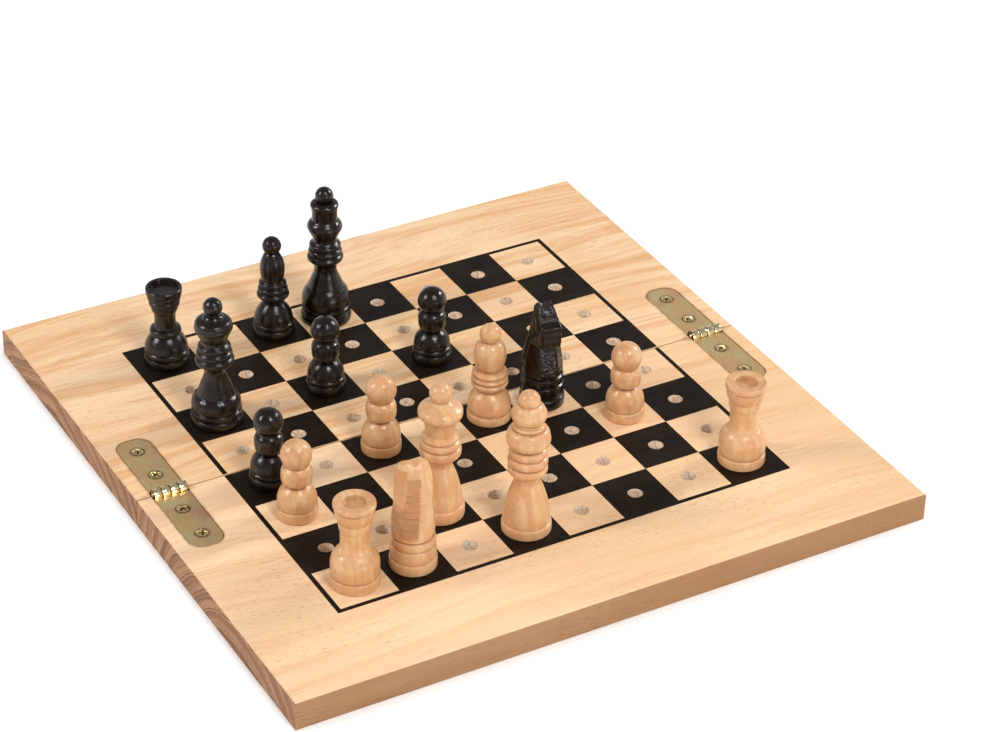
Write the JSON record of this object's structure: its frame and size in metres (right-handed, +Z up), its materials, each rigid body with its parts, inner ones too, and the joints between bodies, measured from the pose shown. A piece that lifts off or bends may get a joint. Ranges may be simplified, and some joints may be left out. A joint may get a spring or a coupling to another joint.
{
  "type": "folding pegged travel chess set",
  "caption": "Two solid pine boards with a printed chequer pattern and peg holes, joined by inlaid brass hinges so that they fold face to face, with turned wooden men standing on pegs.",
  "frame": {"origin": "on the underside, below the middle of the fold line, with the case lying open", "axes": "+X along the fold to the right, +Y from the front board to the back board, +Z up out of the playing face"},
  "size_m": [0.224, 0.228, 0.0615],
  "materials": {
    "pine": "clear satin varnish over light pine",
    "black_print": "matt black ink printed on the wood",
    "satin_brass": "brushed satin brass",
    "polished_brass": "bright polished brass",
    "natural_turned_wood": "turned light wood under satin varnish",
    "black_stained_wood": "turned wood stained black, semi-gloss"
  },
  "bodies": {
    "front_half": {"front_board": "pine", "front_print": "black_print", "front_hinge_screws": "polished_brass", "left_hinge_front_leaf": "satin_brass", "right_hinge_front_leaf": "satin_brass", "left_hinge_pin": "polished_brass", "right_hinge_pin": "polished_brass"},
    "back_half": {"back_board": "pine", "back_print": "black_print", "back_hinge_screws": "polished_brass", "left_hinge_back_leaf": "satin_brass", "right_hinge_back_leaf": "satin_brass"},
    "white_king_man": {"white_king": "natural_turned_wood"},
    "white_queen_man": {"white_queen": "natural_turned_wood"},
    "white_bishop_man": {"white_bishop": "natural_turned_wood"},
    "white_knight_man": {"white_knight": "natural_turned_wood"},
    "white_rook_left_man": {"white_rook_left": "natural_turned_wood"},
    "white_rook_right_man": {"white_rook_right": "natural_turned_wood"},
    "white_pawn_left_man": {"white_pawn_left": "natural_turned_wood"},
    "white_pawn_middle_man": {"white_pawn_middle": "natural_turned_wood"},
    "white_pawn_right_man": {"white_pawn_right": "natural_turned_wood"},
    "black_king_man": {"black_king": "black_stained_wood"},
    "black_queen_man": {"black_queen": "black_stained_wood"},
    "black_bishop_man": {"black_bishop": "black_stained_wood"},
    "black_knight_man": {"black_knight": "black_stained_wood"},
    "black_rook_man": {"black_rook": "black_stained_wood"},
    "black_pawn_left_man": {"black_pawn_left": "black_stained_wood"},
    "black_pawn_middle_man": {"black_pawn_middle": "black_stained_wood"},
    "black_pawn_right_man": {"black_pawn_right": "black_stained_wood"}
  },
  "joints": [
    {"name": "fold", "type": "hinge", "parent": "front_half", "child": "back_half", "pos_m": [0, 0, 0.01025], "axis": [1, 0, 0], "range_deg": [0, 55]},
    {"name": "white_king_peg", "type": "slide", "parent": "front_half", "child": "white_king_man", "axis": [0, 0, -1], "range_m": [-0.007, 0]},
    {"name": "white_queen_peg", "type": "slide", "parent": "front_half", "child": "white_queen_man", "axis": [0, 0, -1], "range_m": [-0.007, 0]},
    {"name": "white_bishop_peg", "type": "slide", "parent": "front_half", "child": "white_bishop_man", "axis": [0, 0, -1], "range_m": [-0.007, 0]},
    {"name": "white_knight_peg", "type": "slide", "parent": "front_half", "child": "white_knight_man", "axis": [0, 0, -1], "range_m": [-0.007, 0]},
    {"name": "white_rook_left_peg", "type": "slide", "parent": "front_half", "child": "white_rook_left_man", "axis": [0, 0, -1], "range_m": [-0.007, 0]},
    {"name": "white_rook_right_peg", "type": "slide", "parent": "front_half", "child": "white_rook_right_man", "axis": [0, 0, -1], "range_m": [-0.007, 0]},
    {"name": "white_pawn_left_peg", "type": "slide", "parent": "front_half", "child": "white_pawn_left_man", "axis": [0, 0, -1], "range_m": [-0.007, 0]},
    {"name": "white_pawn_middle_peg", "type": "slide", "parent": "front_half", "child": "white_pawn_middle_man", "axis": [0, 0, -1], "range_m": [-0.007, 0]},
    {"name": "white_pawn_right_peg", "type": "slide", "parent": "front_half", "child": "white_pawn_right_man", "axis": [0, 0, -1], "range_m": [-0.007, 0]},
    {"name": "black_king_peg", "type": "slide", "parent": "back_half", "child": "black_king_man", "axis": [0, 0, -1], "range_m": [-0.007, 0]},
    {"name": "black_queen_peg", "type": "slide", "parent": "back_half", "child": "black_queen_man", "axis": [0, 0, -1], "range_m": [-0.007, 0]},
    {"name": "black_bishop_peg", "type": "slide", "parent": "back_half", "child": "black_bishop_man", "axis": [0, 0, -1], "range_m": [-0.007, 0]},
    {"name": "black_knight_peg", "type": "slide", "parent": "front_half", "child": "black_knight_man", "axis": [0, 0, -1], "range_m": [-0.007, 0]},
    {"name": "black_rook_peg", "type": "slide", "parent": "back_half", "child": "black_rook_man", "axis": [0, 0, -1], "range_m": [-0.007, 0]},
    {"name": "black_pawn_left_peg", "type": "slide", "parent": "front_half", "child": "black_pawn_left_man", "axis": [0, 0, -1], "range_m": [-0.007, 0]},
    {"name": "black_pawn_middle_peg", "type": "slide", "parent": "back_half", "child": "black_pawn_middle_man", "axis": [0, 0, -1], "range_m": [-0.007, 0]},
    {"name": "black_pawn_right_peg", "type": "slide", "parent": "back_half", "child": "black_pawn_right_man", "axis": [0, 0, -1], "range_m": [-0.007, 0]}
  ]
}
